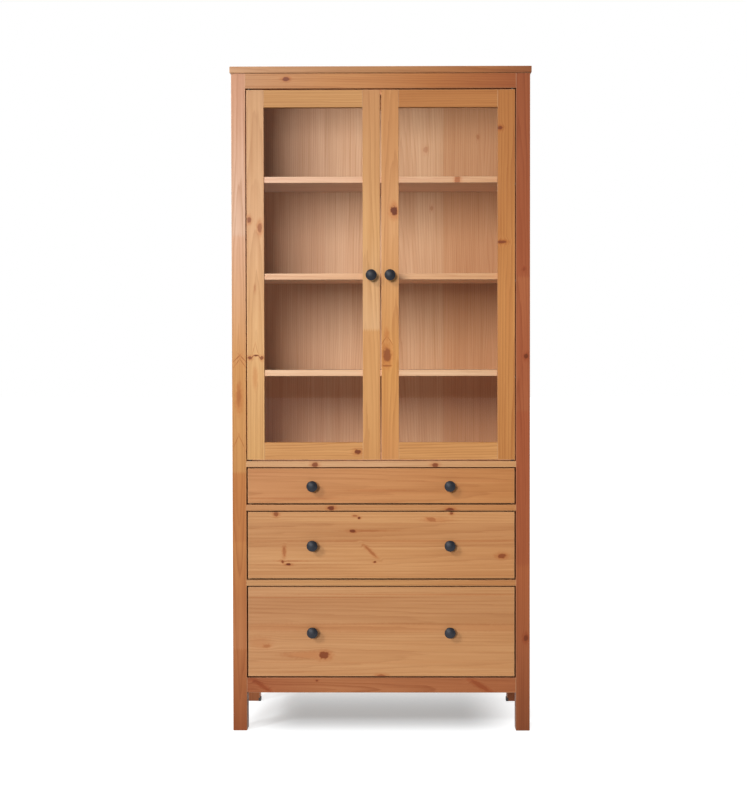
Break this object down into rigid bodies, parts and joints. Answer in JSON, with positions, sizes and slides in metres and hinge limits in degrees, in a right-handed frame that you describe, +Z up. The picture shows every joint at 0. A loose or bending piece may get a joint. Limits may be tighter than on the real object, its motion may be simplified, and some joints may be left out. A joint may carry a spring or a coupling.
{
  "type": "display cabinet",
  "caption": "Tall pine display cabinet: two glazed inset doors with shelves behind them, over inset drawers with round knobs, on four square legs.",
  "frame": {"origin": "on the floor, under the centre of the bounding box of the whole cabinet with its knobs", "axes": "+Z up, the front with doors and drawers faces -Y, +X is to the right of someone facing the front"},
  "size_m": [0.9, 0.392, 1.99],
  "materials": {
    "pine_top": "oiled pine, satin",
    "pine_left_post": "oiled pine, satin",
    "pine_right_post": "oiled pine, satin",
    "pine_rails": "oiled pine, satin",
    "pine_dividers": "oiled pine, satin",
    "pine_side_panels": "oiled pine, satin",
    "pine_door": "oiled pine, satin",
    "pine_drawer": "oiled pine, satin",
    "pine_back": "pine veneer, satin",
    "pine_shelves": "oiled pine, satin",
    "pine_inside": "oiled pine, satin",
    "pine_drawer_box": "bare pine, matt",
    "beech": "bare beech, matt",
    "glass": "clear, smooth",
    "knob_metal": "charcoal enamel, satin",
    "steel": "bright zinc",
    "nylon": "natural nylon",
    "black_plastic": "matt"
  },
  "bodies": {
    "cabinet": {"top_panel": "pine_top", "front_left_post": "pine_left_post", "front_right_post": "pine_right_post", "rear_left_post": "pine_left_post", "rear_right_post": "pine_right_post", "front_top_rail": "pine_rails", "door_sill_rail": "pine_dividers", "upper_drawer_rail": "pine_dividers", "lower_drawer_rail": "pine_dividers", "front_bottom_rail": "pine_rails", "rear_top_rail": "pine_inside", "rear_bottom_rail": "pine_inside", "side_rails": "pine_rails", "left_side_panel": "pine_side_panels", "right_side_panel": "pine_side_panels", "back_panel": "pine_back", "compartment_floor": "pine_shelves", "upper_shelf": "pine_shelves", "middle_shelf": "pine_shelves", "lower_shelf": "pine_shelves", "shelf_pins": "steel", "rail_dowels": "beech", "drawer_runners": "beech", "door_stop": "pine_inside", "hinge_pins": "steel", "rear_feet": "black_plastic"},
    "left_door": {"left_door_outer_stile": "pine_door", "left_door_inner_stile": "pine_door", "left_door_rails": "pine_door", "left_door_glass": "glass", "left_door_glazing_beads": "pine_inside", "left_door_hinge_bushes": "nylon", "left_door_knob": "knob_metal", "left_door_knob_screw": "steel"},
    "right_door": {"right_door_outer_stile": "pine_door", "right_door_inner_stile": "pine_door", "right_door_rails": "pine_door", "right_door_glass": "glass", "right_door_glazing_beads": "pine_inside", "right_door_hinge_bushes": "nylon", "right_door_knob": "knob_metal", "right_door_knob_screw": "steel"},
    "upper_drawer": {"upper_drawer_front": "pine_drawer", "upper_drawer_sides": "pine_drawer_box", "upper_drawer_back": "pine_drawer_box", "upper_drawer_bottom": "pine_drawer_box", "upper_drawer_knobs": "knob_metal", "upper_drawer_knob_screws": "steel"},
    "middle_drawer": {"middle_drawer_front": "pine_drawer", "middle_drawer_sides": "pine_drawer_box", "middle_drawer_back": "pine_drawer_box", "middle_drawer_bottom": "pine_drawer_box", "middle_drawer_knobs": "knob_metal", "middle_drawer_knob_screws": "steel"},
    "lower_drawer": {"lower_drawer_front": "pine_drawer", "lower_drawer_sides": "pine_drawer_box", "lower_drawer_back": "pine_drawer_box", "lower_drawer_bottom": "pine_drawer_box", "lower_drawer_knobs": "knob_metal", "lower_drawer_knob_screws": "steel"}
  },
  "joints": [
    {"name": "left_door_hinge", "type": "hinge", "parent": "cabinet", "child": "left_door", "pos_m": [-0.393, -0.163, 1.3685], "axis": [0, 0, -1], "range_deg": [0, 105]},
    {"name": "right_door_hinge", "type": "hinge", "parent": "cabinet", "child": "right_door", "pos_m": [0.393, -0.163, 1.3685], "axis": [0, 0, 1], "range_deg": [0, 105]},
    {"name": "upper_drawer_slide", "type": "slide", "parent": "cabinet", "child": "upper_drawer", "axis": [0, -1, 0], "range_m": [0, 0.25]},
    {"name": "middle_drawer_slide", "type": "slide", "parent": "cabinet", "child": "middle_drawer", "axis": [0, -1, 0], "range_m": [0, 0.25]},
    {"name": "lower_drawer_slide", "type": "slide", "parent": "cabinet", "child": "lower_drawer", "axis": [0, -1, 0], "range_m": [0, 0.25]}
  ]
}
